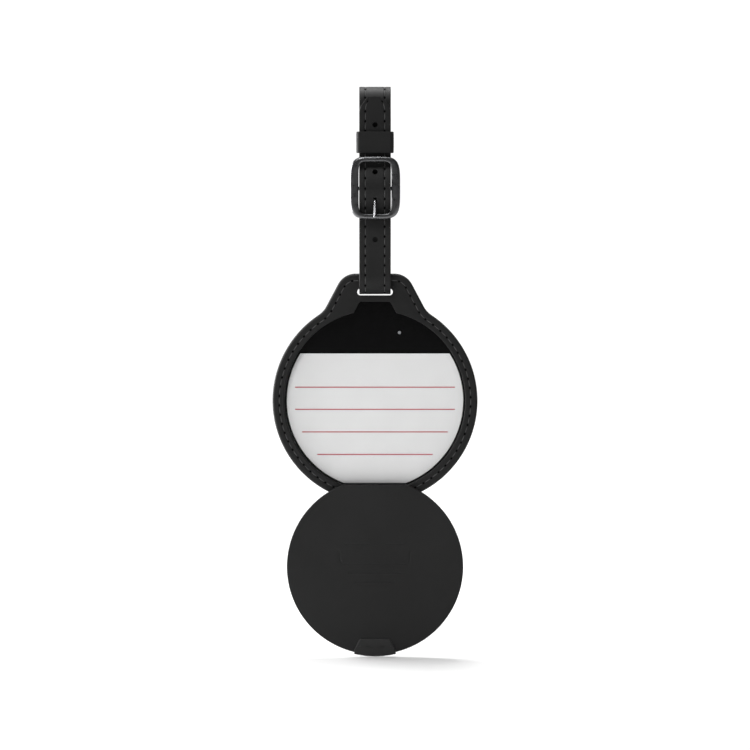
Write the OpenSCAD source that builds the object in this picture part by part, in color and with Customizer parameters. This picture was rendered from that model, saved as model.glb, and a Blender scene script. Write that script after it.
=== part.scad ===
// Round luggage tag with a wireless tracker inside. A stitched, leather-covered disc holds the
// electronics, a name card in a clear pocket and a privacy flap that folds down at the bottom.
// The disc hangs by a slot in its neck from a buckled strap.
//
// Millimetres. +Z is up and -Y is the front. The origin is the inside of the strap loop's top
// fold, where a bag's handle carries the tag. Heights in the modules are counted from the
// centre of the disc, and hang() lowers them into the frame of the origin.

/* [Tag body] */
// Outer radius of the round body
body_r = 36; // [35.5:0.5:38]
// Radius of the opening in the front leather
window_r = 31.7; // [31.6:0.1:31.9]
// Thickness of the front leather
front_leather_t = 1.2; // [1.1:0.1:1.4]
// Thickness of the moulded frame between the leathers
rim_frame_t = 2.2; // [2:0.1:2.4]
// Thickness of the back leather
back_leather_t = 0.9; // [0.7:0.1:0.9]
// How far the moulded frame stays inside the leather's edge
rim_frame_inset = 0.15; // [0.1:0.05:0.4]

/* [Neck and strap slot] */
// Height of the neck's top edge above the disc's centre
neck_top = 44.6; // [44.4:0.1:45]
// Radius of the neck's upper corners
neck_corner_r = 7; // [6:0.5:8]
// Distance of each corner arc's centre from the middle
neck_corner_x = 6.8; // [6.4:0.1:7.2]
// Lean of the neck's sides away from upright, in degrees
neck_lean = 28; // [26:1:30]
// Radius where the neck runs into the round body
neck_fillet_r = 8.5; // [8:0.5:12]
// Width of the strap slot
slot_w = 12.5; // [12.2:0.1:13]
// Height of the strap slot
slot_h = 2.35; // [2.3:0.05:2.5]
// Height of the slot's middle above the disc's centre
slot_z = 38.15; // [38:0.05:38.3]

/* [Flap] */
// Radius of the flap
flap_r = 31; // [30.6:0.1:31.2]
// Depth of the fold line below the disc's centre
fold_drop = 29.13; // [29:0.05:29.3]
// Thickness of the flap's outer skin
flap_skin_t = 0.6; // [0.5:0.05:0.6]
// Thickness of the flap's stiffening board
flap_board_t = 0.6; // [0.5:0.05:0.6]
// Thickness of the flap's inner liner
flap_liner_t = 0.5; // [0.45:0.05:0.5]
// How far the pull tab stands out of the liner
tab_rise = 0.5; // [0.3:0.05:0.5]
// Width of the pull tab at the flap's edge
tab_w = 14.6; // [14:0.1:14.8]
// Height of the pull tab
tab_h = 6.1; // [5.5:0.1:6.4]

/* [Name card] */
// Thickness of the paper card
card_t = 0.3; // [0.2:0.05:0.3]
// Thickness of the clear window
film_t = 0.25; // [0.2:0.05:0.25]
// Height of the card's straight top edge above the disc's centre
card_top = 16.6; // [14:0.1:18]

/* [Tracker module] */
// Radius of the module's front plate
core_plate_r = 32.6; // [32.4:0.1:32.6]
// Radius of the module's rear can
core_can_r = 31.9; // [31.8:0.1:32]
// Front-to-back depth of the module
core_depth = 3.95; // [3.9:0.05:4]
// Radius of the charging coil
coil_r = 20.5; // [18:0.5:20.5]
// Width of the battery cell
battery_w = 36; // [30:1:36]
// Height of the battery cell
battery_h = 22; // [18:1:22]

/* [Strap] */
// Width of the strap
strap_w = 11; // [10:0.5:11]
// Thickness of one of the strap's two plies
ply_t = 0.85; // [0.75:0.05:0.85]
// Inner radius of the loop's top and bottom folds
fold_r = 4.5; // [4.5:0.1:5]
// Outside height of the whole strap loop
loop_h = 72.5; // [72:0.5:74]
// Diameter of the punched holes
hole_d = 1.8; // [1.5:0.1:2]

/* [Buckle] */
// Greatest width of the buckle
buckle_w = 17.5; // [17.3:0.1:18]
// Height of the buckle
buckle_h = 21.7; // [21.5:0.1:22]
// Front-to-back thickness of the buckle's frame
buckle_t = 2; // [1.8:0.1:2.3]
// Diameter of the prong
prong_d = 1.2; // [1:0.1:1.2]
// Width of the strap keeper
keeper_w = 13.1; // [13:0.1:13.6]
// Height of the strap keeper
keeper_h = 7.4; // [6:0.1:7.4]

/* [Hidden] */
$fn = 72;

// Layers of the body from front to back. The rim's middle plane is y = 0.
rim_front = -(front_leather_t + rim_frame_t + back_leather_t) / 2;
leather_back = rim_front + front_leather_t;
frame_back = leather_back + rim_frame_t;
rim_back = frame_back + back_leather_t;
core_front = rim_front + 2.4;
core_back = core_front + core_depth;
body_back = core_back + back_leather_t - 0.05;

// Fold line of the flap: it lies just in front of the rim.
fold_y = rim_front - 0.15;
fold_z = -fold_drop;
fold_gap = 0.3;
crease_r = 0.28;

// Folds of the strap. The lower one hangs in the slot, the upper one carries the tag.
strap_t = 2 * ply_t;
slot_top = slot_z + slot_h / 2;
low_fold_z = slot_top - 0.2 + fold_r;
loop_bottom = low_fold_z - fold_r - strap_t;
top_fold_z = loop_bottom + loop_h - strap_t - fold_r;
hang_z = top_fold_z + fold_r;

// Buckle bar, which the anchored end of the strap wraps.
bar_z = 74.4;
bar_y = -7.6;
bar_r = 0.75;
buckle_mid_z = bar_z + 0.2;
buckle_back = -8.7;
buckle_front = buckle_back - buckle_t;
buckle_rail_h = 1.75;
opening_half_w = 6;

// Mid surface of the strap, between its two plies, as distances in front of the loop's middle.
run_y = fold_r + ply_t;
ply_gap = 0.2;
stack = strap_t + ply_gap;
hump_reach = 10;
bar_gap = 0.05;
glue_gap = 0.05;
hump = -bar_y + bar_r + bar_gap - run_y;
tip_z = 106.2;
tip_shoulder_z = 101.3;
ramp_low_z = 47;
ramp_high_z = 63;
lining_end_z = 86;
fold_back_end_z = 85.4;
hole_heights = [96.5, 80.1, 56.6];

// Points of an arc, both ends included.
function arc(centre, r, from, to, steps) =
    [for (i = [0:steps]) let (a = from + (to - from) * i / steps) centre + r * [cos(a), sin(a)]];
function mirrored(points) = [for (i = [len(points) - 1:-1:0]) [-points[i][0], points[i][1]]];
function reversed(list) = [for (i = [len(list) - 1:-1:0]) list[i]];
function smooth(t) = let (u = min(1, max(0, t))) u * u * (3 - 2 * u);

// Points of a rectangle with round corners, centred.
function round_box(w, h, r) = [
    for (q = [[1, 1, 0], [-1, 1, 90], [-1, -1, 180], [1, -1, 270]])
        each arc([q[0] * (w / 2 - r), q[1] * (h / 2 - r)], r, q[2], q[2] + 90, 6)
];

// Points of a superellipse, a box with bowed sides and soft corners.
function bowed_box(a, b, power) = [
    for (i = [0:71]) let (c = cos(5 * i), s = sin(5 * i))
        [a * sign(c) * pow(abs(c), 2 / power), b * sign(s) * pow(abs(s), 2 / power)]
];

// Right half of the body's outline: neck corner, fillet, then the round body.
function half_outline(inset) =
    let (
        r = body_r - inset,
        corner = [neck_corner_x, neck_top - neck_corner_r],
        out = [cos(neck_lean), sin(neck_lean)],
        along = [sin(neck_lean), -cos(neck_lean)],
        side = out * corner + neck_corner_r + neck_fillet_r,
        back = sqrt(pow(body_r + neck_fillet_r, 2) - side * side),
        fillet = side * out - back * along,
        meet = atan2(fillet[1], fillet[0])
    )
    concat(
        arc(corner, neck_corner_r - inset, 90, neck_lean, 10),
        arc(fillet, neck_fillet_r + inset, neck_lean + 180, meet + 180, 8),
        arc([0, 0], r, meet, -88, 48)
    );
function outline(inset) = concat(half_outline(inset), mirrored(half_outline(inset)));

// Puts a flat drawing, x across and y up, into the body between two depths.
module slab(front, back)
    translate([0, back, 0]) rotate([90, 0, 0]) linear_extrude(back - front) children();
// Turns a profile, radius across and depth up, about the body's front-to-back axis.
module turned() rotate([-90, 0, 0]) rotate_extrude() children();
// A rod along the depth at one place on the disc.
module rod(x, z, r, front, back)
    translate([x, back, z]) rotate([90, 0, 0]) cylinder(h = back - front, r = r);
// A block at one place on the disc.
module block(x, z, w, h, front, back)
    translate([x - w / 2, front, z - h / 2]) cube([w, back - front, h]);
// Lowers everything from the disc's centre to the origin.
module hang() translate([0, 0, -hang_z]) children();

module below(height) translate([-50, height - 100]) square([100, 100]);
module above(height) translate([-50, height]) square([100, 100]);

module slot_shape() {
    end = slot_w / 2 - slot_h / 2;
    translate([-end, slot_z - slot_h / 2]) square([2 * end, slot_h]);
    for (side = [-1, 1]) translate([side * end, slot_z]) circle(slot_h / 2);
}

// Space the strap's lower fold turns in, cut round the bridge above the slot.
module saddle_cut() {
    clear = 0.25;
    difference() {
        translate([-strap_w / 2 - 0.4, -4, slot_top - 0.3]) cube([strap_w + 0.8, 8, 2]);
        translate([0, 0, low_fold_z]) rotate([0, 90, 0])
            cylinder(h = 30, r = fold_r - clear, center = true);
    }
}

// Thumb notch over the flap's pull tab.
half_notch = [[5.1, 34.8], [5.7, 34.1], [7.5, 30.8], [7.6, 29]];
notch_points = concat(half_notch, mirrored(half_notch));

module window_shape() {
    difference() {
        circle(window_r);
        below(fold_z - fold_gap);
    }
    polygon(notch_points);
}

module front_leather() color([0.17, 0.17, 0.17]) difference() {
    slab(rim_front, leather_back) difference() {
        polygon(outline(0));
        window_shape();
        slot_shape();
    }
    saddle_cut();
}

// Black tongue of the module's front plate, seen through the thumb notch.
module plate_tongue(extra) {
    reach = 36 + extra;
    half = 8.3 + extra;
    polygon([[-half, 20], [-half, 32], [-half + 2, reach], [half - 2, reach], [half, 32], [half, 20]]);
}

module rim_frame() color([0.1, 0.1, 0.1]) difference() {
    slab(leather_back, frame_back) difference() {
        polygon(outline(rim_frame_inset));
        circle(window_r);
        polygon(notch_points);
        slot_shape();
    }
    slab(core_front, frame_back + 1) {
        circle(core_plate_r + 0.15);
        plate_tongue(0.15);
    }
    saddle_cut();
}

module back_leather() color([0.16, 0.16, 0.16]) {
    can_r = core_can_r + 0.1;
    wall_r = can_r + 0.85;
    soft = 0.7;
    difference() {
        slab(frame_back, rim_back) difference() {
            polygon(outline(0));
            circle(wall_r - 0.3);
            slot_shape();
        }
        saddle_cut();
    }
    turned() polygon(concat(
        [[can_r, frame_back], [wall_r, frame_back]],
        arc([wall_r - soft, body_back - soft], soft, 0, 90, 6),
        [[0, body_back], [0, core_back], [can_r, core_back]]
    ));
}

// Crease of the leather between rim and flap, rolled round the fold line.
module hinge_crease() color([0.15, 0.15, 0.15])
    translate([0, fold_y, fold_z]) rotate([0, 90, 0]) cylinder(h = 20, r = crease_r, center = true);

led_x = 8.6;
led_z = 23.9;
button_x = -14;
button_z = 22;
shell_t = 0.7;
core_floor = core_front + shell_t;
core_roof = core_back - 0.65;
board_front = core_floor + 0.15;
board_back = board_front + 0.6;
stakes = [[-24, 8], [24, 8], [20, 20]];

module core_front_shell() color([0.04, 0.04, 0.04]) {
    difference() {
        slab(core_front, core_floor) {
            circle(core_plate_r);
            plate_tongue(0);
        }
        rod(led_x, led_z, 0.65, core_front - 1, core_floor + 1);
    }
    lip_r = core_can_r - 0.6;
    turned() translate([lip_r - 0.7, core_floor]) square([0.7, 0.6]);
    for (p = stakes) rod(p[0], p[1], 0.7, core_floor, board_back + 0.4);
}

module core_rear_shell() color([0.08, 0.08, 0.08]) difference() {
    turned() polygon([
        [core_can_r - 0.5, core_floor], [core_plate_r, core_floor], [core_plate_r, frame_back],
        [core_can_r, frame_back], [core_can_r, core_back], [0, core_back], [0, core_roof],
        [core_can_r - 0.5, core_roof]
    ]);
    rod(button_x, button_z, 2.7, core_roof - 1, core_back + 1);
}

card_back = core_front;
card_front = card_back - card_t;
film_gap = 0.05;
film_back = card_front - film_gap;
film_front = film_back - film_t;
pocket_r = 31.25;

module card_window() color([0.9, 0.93, 0.95, 0.3]) {
    slab(film_front, film_back) difference() {
        circle(pocket_r);
        above(card_top);
    }
    slab(film_back - 0.05, card_back) difference() {
        circle(pocket_r);
        circle(pocket_r - 0.25);
        above(card_top);
    }
}

module name_card() color([0.88, 0.88, 0.88]) slab(card_front, card_back) difference() {
    circle(pocket_r - 0.28);
    above(card_top - 0.05);
}

magnet_z = 28.3;

module circuit_board() color([0.05, 0.22, 0.12]) slab(board_front, board_back) difference() {
    circle(core_can_r - 1.5);
    below(3);
    translate([-6, 26]) square([12, 10]);
    translate([led_x, led_z]) circle(0.7);
    for (p = stakes) translate(p) circle(0.8);
}

module radio_module() color([0.7, 0.7, 0.72]) {
    block(-9, 12, 12, 9, board_back, board_back + 0.3);
    slab(board_back + 0.3, board_back + 1) translate([-9, 12]) polygon(round_box(11.2, 8.2, 0.6));
}

module chip_antenna() color([0.85, 0.85, 0.8]) block(-22.5, 14, 2, 7, board_back, board_back + 0.8);
module charge_controller() color([0.06, 0.06, 0.07]) block(3, 9, 4, 4, board_back, board_back + 0.8);

module status_led() color([0.95, 0.95, 0.9]) {
    block(led_x, led_z, 3.2, 1.6, board_back, board_back + 0.5);
}

module light_pipe() color([0.8, 0.82, 0.85]) rod(led_x, led_z, 0.55, core_front - 0.1, board_back - 0.05);

module pairing_switch() color([0.75, 0.75, 0.75]) {
    block(button_x, button_z, 4, 4, board_back, board_back + 0.6);
    rod(button_x, button_z, 1, board_back + 0.55, board_back + 0.8);
}

module pairing_button() color([0.1, 0.1, 0.1]) {
    rod(button_x, button_z, 1, board_back + 1.15, core_roof - 0.1);
    rod(button_x, button_z, 3.1, core_roof - 0.35, core_roof - 0.05);
    rod(button_x, button_z, 2.5, core_roof - 0.1, core_back - 0.05);
}

module piezo_buzzer() color([0.75, 0.6, 0.25]) {
    rod(14.5, 11, 6, board_back, board_back + 0.8);
    rod(14.5, 11, 4.2, board_back + 0.75, board_back + 1);
}

module latch_magnet() color([0.6, 0.6, 0.62]) block(0, magnet_z, 10, 3, core_floor, core_floor + 1.2);

battery_top = -1.5;

module battery_cell() color([0.72, 0.73, 0.76])
    slab(board_front, board_front + 1.7) translate([0, battery_top - battery_h / 2])
        polygon(round_box(battery_w, battery_h, 1));

module battery_protection_board() color([0.6, 0.35, 0.08])
    block(0, battery_top + 1.3, 24, 2.4, board_front, board_front + 1);

module lead(x) {
    lead_r = 0.4;
    start = battery_top + 2.5;
    translate([x, board_back + lead_r, start]) cylinder(h = 4.2, r = lead_r);
    translate([x, board_back + lead_r, start + 4.2]) sphere(lead_r);
}
module battery_lead_red() color([0.7, 0.05, 0.05]) lead(-6);
module battery_lead_black() color([0.05, 0.05, 0.05]) lead(-4);

ferrite_front = core_roof - 0.65;
coil_front = ferrite_front + 0.25;
coil_back = core_roof - 0.05;
coil_turns = 9;
coil_inner_r = 10.5;

// Flat spiral of the receiving coil: a band whose radius grows evenly with the angle.
coil_band = 0.8;
coil_steps = coil_turns * 24;
function spiral(shift) = [
    for (i = [0:coil_steps])
        let (a = 15 * i, r = coil_inner_r + shift + (coil_r - coil_inner_r - coil_band) * i / coil_steps)
        r * [cos(a), sin(a)]
];
module charging_coil() color([0.72, 0.4, 0.2])
    slab(coil_front + 0.02, coil_back) polygon(concat(spiral(0), reversed(spiral(coil_band))));

module ferrite_sheet() color([0.2, 0.2, 0.22]) slab(ferrite_front, coil_front) circle(coil_r + 1);

// Each lead leaves the coil behind the ferrite sheet, passes its edge and goes forward to the board.
module coil_leads() color([0.72, 0.4, 0.2]) for (x = [1, 3]) {
    wire_r = 0.15;
    wire_z = coil_r + 1.6;
    wire_y = coil_back - wire_r - 0.02;
    start = coil_r + 0.3;
    rod(x, wire_z, wire_r, board_back, wire_y);
    translate([x, wire_y, start]) cylinder(h = wire_z - start, r = wire_r);
    translate([x, wire_y, wire_z]) sphere(wire_r);
}

// The flap hangs open in front of the rim, its skin against the leather and its liner in front.
skin_back = 2 * fold_y - rim_front;
board_face = skin_back - flap_skin_t;
liner_back = board_face - flap_board_t;
liner_face = liner_back - flap_liner_t;
flap_centre_z = 2 * fold_z;
flap_magnet_z = flap_centre_z - magnet_z;

module flap_disc(inset) difference() {
    translate([0, flap_centre_z]) circle(flap_r - inset);
    above(fold_z - fold_gap - inset);
}

module flap_magnet_space(front, back, extra)
    block(0, flap_magnet_z, 10 + 2 * extra, 3 + 2 * extra, front, back);

module flap_skin() color([0.17, 0.17, 0.17]) slab(board_face, skin_back) flap_disc(0);

module flap_board() color([0.3, 0.3, 0.28]) difference() {
    slab(liner_back, board_face) flap_disc(0.3);
    flap_magnet_space(liner_back - 1, board_face - 0.1, 0.1);
}

module flap_liner() color([0.18, 0.18, 0.18]) difference() {
    slab(liner_face, liner_back) flap_disc(0);
    flap_magnet_space(liner_back - 0.3, liner_back + 1, 0.1);
}

module flap_magnet() color([0.6, 0.6, 0.62]) flap_magnet_space(liner_back - 0.25, board_face - 0.15, 0);

module tab_shape() {
    low = flap_centre_z - flap_r - 2;
    edge = flap_centre_z - flap_r + 2;
    high = flap_centre_z - flap_r - 0.6 + tab_h;
    half = [[5.7, high], [tab_w / 2, edge - 1], [tab_w / 2, low]];
    polygon(concat(half, mirrored(half)));
}

module flap_tab() color([0.24, 0.24, 0.24]) {
    slab(liner_face - tab_rise, liner_face) intersection() {
        translate([0, flap_centre_z]) circle(flap_r + 0.6);
        tab_shape();
    }
    slab(liner_face - 0.05, skin_back - 0.1) intersection() {
        translate([0, flap_centre_z]) difference() {
            circle(flap_r + 0.6);
            circle(flap_r + 0.03);
        }
        tab_shape();
    }
}

// How far the strap is bowed forward by the wrapped bar at one height.
function bow(z) = hump * (1 + cos(180 * min(1, abs(z - bar_z) / hump_reach))) / 2;
function bow_slope(z) = abs(z - bar_z) >= hump_reach ? 0
    : -hump * 90 / hump_reach * PI / 180 * sin(180 * (z - bar_z) / hump_reach);
function anchor_y(z) = -run_y - bow(z);
function tongue_y(z) = z > bar_z
    ? anchor_y(z) - stack * sqrt(1 + pow(bow_slope(z), 2))
    : -run_y - bow(z) - stack * smooth((z - ramp_low_z) / (ramp_high_z - ramp_low_z));
function fold_back_y(z) =
    let (t = smooth((z - bar_z) / (fold_back_end_z - bar_z)), spread = 2 * (bar_r + bar_gap))
    anchor_y(z) + spread + t * (glue_gap - spread);

function heights(from, to, steps) = [for (i = [0:steps]) from + (to - from) * i / steps];

// Mid surface of the strap: from the tongue's tip down, under the lower fold, up the back and
// over the top fold to where the lining ends.
lined_path = concat(
    [[tongue_y(tip_z), tip_z]],
    [for (z = heights(bar_z + hump_reach + 1, ramp_low_z - 1, 40)) [tongue_y(z), z]],
    arc([0, low_fold_z], run_y, 180, 360, 24),
    arc([0, top_fold_z], run_y, 0, 180, 24),
    [[-run_y, lining_end_z + 1]]
);
// The face leather goes on down, round the buckle's bar and back up to where it is glued.
face_path = concat(
    lined_path,
    [for (z = heights(lining_end_z, bar_z + 0.6, 14)) [anchor_y(z), z]],
    arc([bar_y, bar_z], bar_r + bar_gap, 180, 360, 12),
    [for (z = heights(bar_z + 0.6, fold_back_end_z, 14)) [fold_back_y(z), z]]
);

// A path moved sideways: outward is positive.
function shifted(path, d) = [
    for (i = [0:len(path) - 1])
        let (
            before = path[max(0, i - 1)],
            after = path[min(len(path) - 1, i + 1)],
            step = (after - before) / norm(after - before)
        )
        path[i] + d * [step[1], -step[0]]
];

// A band of leather that follows a path in depth and height, across the strap's width.
module band(path, inner, outer, w) rotate([90, 0, 90]) linear_extrude(w, center = true)
    polygon(concat(shifted(path, inner), reversed(shifted(path, outer))));

// Taper of the tongue's tip.
module tip_cut() {
    half = strap_w / 2;
    side_r = 14.07;
    side_centre = [half - 14, tip_shoulder_z - 1.4];
    end_r = 9;
    translate([0, -run_y - ply_t - ply_gap / 2, 0]) rotate([90, 0, 0]) linear_extrude(4)
    for (side = [-1, 1]) polygon([
        for (p = concat(
            [[half + 1, tip_shoulder_z], [half, tip_shoulder_z]],
            arc(side_centre, side_r, 6, 21, 5),
            arc([0, tip_z - end_r], end_r, 70, 90, 5),
            [[0, tip_z + 1], [half + 1, tip_z + 1]]
        )) [side * p[0], p[1]]
    ]);
}

// Lean of the prong from upright, at which it just clears the front edge of the lower rail.
rail_gap = 0.06;
rail_drop = bar_z - (buckle_mid_z - buckle_h / 2 + buckle_rail_h);
rail_depth = bar_y - buckle_front;
prong_rest = atan2(rail_depth, rail_drop) + asin((prong_d / 2 + rail_gap) / norm([rail_depth, rail_drop]));
prong_l = 11.2;

// Point beside the prong's middle line: depth and height from the bar, at one angle of lean.
function beside_prong(along, aside, lean) =
    along * [-sin(lean), -cos(lean)] + aside * [-cos(lean), sin(lean)];

// Slot through the tongue that the prong passes, wide enough for its lift and the buckle's tilt.
module prong_space() {
    aside = prong_d / 2 + 0.2;
    low = prong_rest - 4;
    high = prong_rest + 13;
    translate([0, bar_y, bar_z]) rotate([90, 0, 90]) linear_extrude(2 * aside, center = true) polygon([
        beside_prong(1.8, -aside, low), beside_prong(prong_l + 1, -aside, low),
        beside_prong(prong_l + 1, aside, high), beside_prong(1.8, aside, high)
    ]);
}

// What is cut out of both plies of the tongue: its taper, the punched holes and the prong's hole.
module tongue_cuts() {
    tip_cut();
    for (z = hole_heights) rod(0, z, hole_d / 2, -14, tongue_y(z) + ply_t + ply_gap / 2);
    prong_space();
}

prong_slot_w = 2;

module strap_face() color([0.18, 0.18, 0.18]) difference() {
    band(face_path, 0, ply_t, strap_w);
    tongue_cuts();
    translate([0, bar_y, bar_z]) rotate([0, 90, 0])
        cylinder(h = prong_slot_w, r = bar_r + bar_gap + ply_t + 0.1, center = true);
}

module strap_lining() color([0.14, 0.14, 0.14]) difference() {
    band(lined_path, -ply_t, 0, strap_w);
    tongue_cuts();
}

keeper_wall = 0.9;
keeper_front = tongue_y(tip_z) - ply_t - 0.2 - keeper_wall;
keeper_back = -fold_r + 0.2 + keeper_wall;
keeper_low_z = 86.7;

module strap_keeper() color([0.18, 0.18, 0.18]) {
    depth = keeper_back - keeper_front;
    translate([0, (keeper_front + keeper_back) / 2, keeper_low_z]) linear_extrude(keeper_h) difference() {
        polygon(round_box(keeper_w, depth, 1.3));
        polygon(round_box(keeper_w - 2 * keeper_wall, depth - 2 * keeper_wall, 0.4));
    }
}

bar_l = buckle_w - 2.8;

module buckle_frame() color([0.28, 0.28, 0.29]) difference() {
    lug_r = 1.35;
    lug_t = 1.6;
    lug_x = buckle_w / 2 - 2.6;
    union() {
        slab(buckle_front, buckle_back) translate([0, buckle_mid_z]) difference() {
            polygon(bowed_box(buckle_w / 2, buckle_h / 2, 4.4));
            polygon(bowed_box(opening_half_w, buckle_h / 2 - buckle_rail_h, 7));
        }
        for (side = [-1, 1]) translate([side * (lug_x + lug_t / 2), bar_y, bar_z]) {
            rotate([0, 90, 0]) cylinder(h = lug_t, r = lug_r, center = true);
            translate([-lug_t / 2, buckle_back - bar_y - 0.3, -lug_r])
                cube([lug_t, bar_y - buckle_back + 0.3, 2 * lug_r]);
        }
    }
    translate([0, bar_y, bar_z]) rotate([0, 90, 0])
        cylinder(h = bar_l, r = bar_r, center = true);
}

module buckle_bar() color([0.5, 0.5, 0.52])
    translate([0, bar_y, bar_z]) rotate([0, 90, 0]) cylinder(h = bar_l, r = bar_r, center = true);

module buckle_prong() color([0.55, 0.55, 0.57]) translate([0, bar_y, bar_z]) difference() {
    r = prong_d / 2;
    union() {
        rotate([0, 90, 0]) cylinder(h = prong_d + 0.3, r = bar_r + 0.75, center = true);
        rotate([-prong_rest, 0, 0]) rotate_extrude() polygon(concat(
            arc([0, -prong_l + r], r, -90, 0, 8),
            [[r, -bar_r - 0.3], [0, -bar_r - 0.3]]
        ));
    }
    rotate([0, 90, 0]) cylinder(h = 4, r = bar_r + 0.04, center = true);
}

hang() {
    front_leather();
    rim_frame();
    back_leather();
    hinge_crease();
    core_front_shell();
    core_rear_shell();
    card_window();
    name_card();
    circuit_board();
    radio_module();
    chip_antenna();
    charge_controller();
    status_led();
    light_pipe();
    pairing_switch();
    pairing_button();
    piezo_buzzer();
    latch_magnet();
    battery_cell();
    battery_protection_board();
    battery_lead_red();
    battery_lead_black();
    ferrite_sheet();
    charging_coil();
    coil_leads();
    flap_skin();
    flap_board();
    flap_liner();
    flap_tab();
    flap_magnet();
    strap_face();
    strap_lining();
    strap_keeper();
    buckle_frame();
    buckle_bar();
    buckle_prong();
}
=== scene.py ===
# %% [markdown]
# # A round luggage tag, dressed in leather, metal and card
# The measured model of the tag is loaded first. It already holds every size and every joint, so
# this script never moves it. It gives each hard part a finish, and it puts better surfaces in
# place of the plain leather solids. All shapes are worked out as numpy arrays, in millimetres
# counted from the middle of the round body, and go into the scene in metres.

# %% Load the frame
import math

import bpy
import numpy as np
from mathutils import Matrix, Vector


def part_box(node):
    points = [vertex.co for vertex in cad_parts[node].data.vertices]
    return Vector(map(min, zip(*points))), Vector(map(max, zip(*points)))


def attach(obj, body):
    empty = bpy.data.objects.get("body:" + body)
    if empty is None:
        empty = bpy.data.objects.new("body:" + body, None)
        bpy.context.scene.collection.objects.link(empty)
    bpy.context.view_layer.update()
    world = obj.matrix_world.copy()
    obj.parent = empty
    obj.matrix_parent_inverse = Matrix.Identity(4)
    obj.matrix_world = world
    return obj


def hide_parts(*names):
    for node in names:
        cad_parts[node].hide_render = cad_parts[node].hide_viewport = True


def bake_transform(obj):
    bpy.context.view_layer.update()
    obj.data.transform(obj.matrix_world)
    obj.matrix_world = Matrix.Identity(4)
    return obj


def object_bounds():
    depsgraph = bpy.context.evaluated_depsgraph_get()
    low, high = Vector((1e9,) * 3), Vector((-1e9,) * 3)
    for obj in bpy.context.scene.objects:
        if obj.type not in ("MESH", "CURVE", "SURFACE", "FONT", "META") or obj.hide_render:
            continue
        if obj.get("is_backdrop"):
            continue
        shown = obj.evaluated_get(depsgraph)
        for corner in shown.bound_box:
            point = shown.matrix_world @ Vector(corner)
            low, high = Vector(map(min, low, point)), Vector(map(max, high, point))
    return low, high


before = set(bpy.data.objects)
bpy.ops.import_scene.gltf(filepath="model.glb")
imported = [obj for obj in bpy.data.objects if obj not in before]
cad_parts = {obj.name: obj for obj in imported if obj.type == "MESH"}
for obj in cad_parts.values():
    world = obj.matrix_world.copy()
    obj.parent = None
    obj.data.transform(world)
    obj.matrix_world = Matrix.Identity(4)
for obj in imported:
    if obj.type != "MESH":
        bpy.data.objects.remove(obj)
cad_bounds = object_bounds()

# %% [markdown]
# The sizes come from the frame, so that the looks follow the model if it changes. A node's box
# gives its lowest and highest corner, and the body's middle lies one radius above its foot.

# %% Read the driving sizes
MM = 0.001


def box_mm(node):
    """A node's lowest and highest corner in millimetres, heights counted from the disc's middle."""
    corners = np.array([list(corner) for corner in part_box(node)]) / MM
    corners[:, 2] -= disc_z
    return corners


disc_z = 0.0
leather_box = box_mm("front_leather")
body_r = (leather_box[1, 0] - leather_box[0, 0]) / 2
disc_z = leather_box[0, 2] + body_r
leather_box = box_mm("front_leather")
neck_top = leather_box[1, 2]
rim_front, leather_back = leather_box[:, 1]
frame_back, pan_back = box_mm("back_leather")[:, 1]
core_back = box_mm("core_rear_shell")[1, 1]
fold_y, fold_z = box_mm("hinge_crease").mean(axis=0)[1:]
skin_box = box_mm("flap_skin")
liner_box = box_mm("flap_liner")
tab_box = box_mm("flap_tab")
flap_r = (skin_box[1, 0] - skin_box[0, 0]) / 2
flap_z = skin_box[0, 2] + flap_r
bar_y, bar_z = box_mm("buckle_bar").mean(axis=0)[1:]
print("body radius", round(body_r, 2), "disc middle", round(disc_z, 2), "fold", round(fold_z, 2))

# %% [markdown]
# A mesh is points and faces. Most pieces here are rings of points joined by quads, like the hoops
# of a barrel. The helpers below number the quads of such a grid, close its ends, and turn the
# whole skin right way out by looking at the sign of the volume that it holds.


# %% Helpers that build meshes
def grid_faces(rows, cols, close_rows=False, close_cols=True):
    """Quads of a grid of points; a closed direction joins its last line to its first."""
    i = np.arange(rows if close_rows else rows - 1)[:, None]
    j = np.arange(cols if close_cols else cols - 1)[None, :]
    below = (i + 1) % rows * cols
    beside = (j + 1) % cols
    return np.stack([i * cols + j, i * cols + beside, below + beside, below + j], -1).reshape(-1, 4)


def barrel(rings):
    """Points and faces of rings (rows, columns, 3) joined in order, each end closed at its middle."""
    rings = np.array(rings)
    rows, cols = rings.shape[:2]
    points = np.concatenate([rings.reshape(-1, 3), rings[:1].mean(axis=1), rings[-1:].mean(axis=1)])
    first = np.arange(cols)
    last = first + (rows - 1) * cols
    caps = [
        np.stack([np.roll(first, -1), first, np.full(cols, rows * cols)], -1),
        np.stack([last, np.roll(last, -1), np.full(cols, rows * cols + 1)], -1),
    ]
    return points, [grid_faces(rows, cols)] + caps


def hoop(rings):
    """Points and faces of rings whose last one joins the first, such as a band round a hole."""
    return rings.reshape(-1, 3), [grid_faces(*rings.shape[:2], close_rows=True)]


def volume(points, faces):
    """Six times the volume inside: the sum of the boxes spanned by each face's corners."""
    total = 0.0
    for group in faces:
        for k in range(1, group.shape[1] - 1):
            a, b, c = points[group[:, 0]], points[group[:, k]], points[group[:, k + 1]]
            total += np.einsum("ij,ij->", a, np.cross(b, c))
    return total


def join(*parts):
    """Several closed skins as one list of points and faces."""
    points, faces, count = [], [], 0
    for part_points, part_faces in parts:
        points.append(part_points)
        faces += [group + count for group in part_faces]
        count += len(part_points)
    return np.concatenate(points), faces


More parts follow.
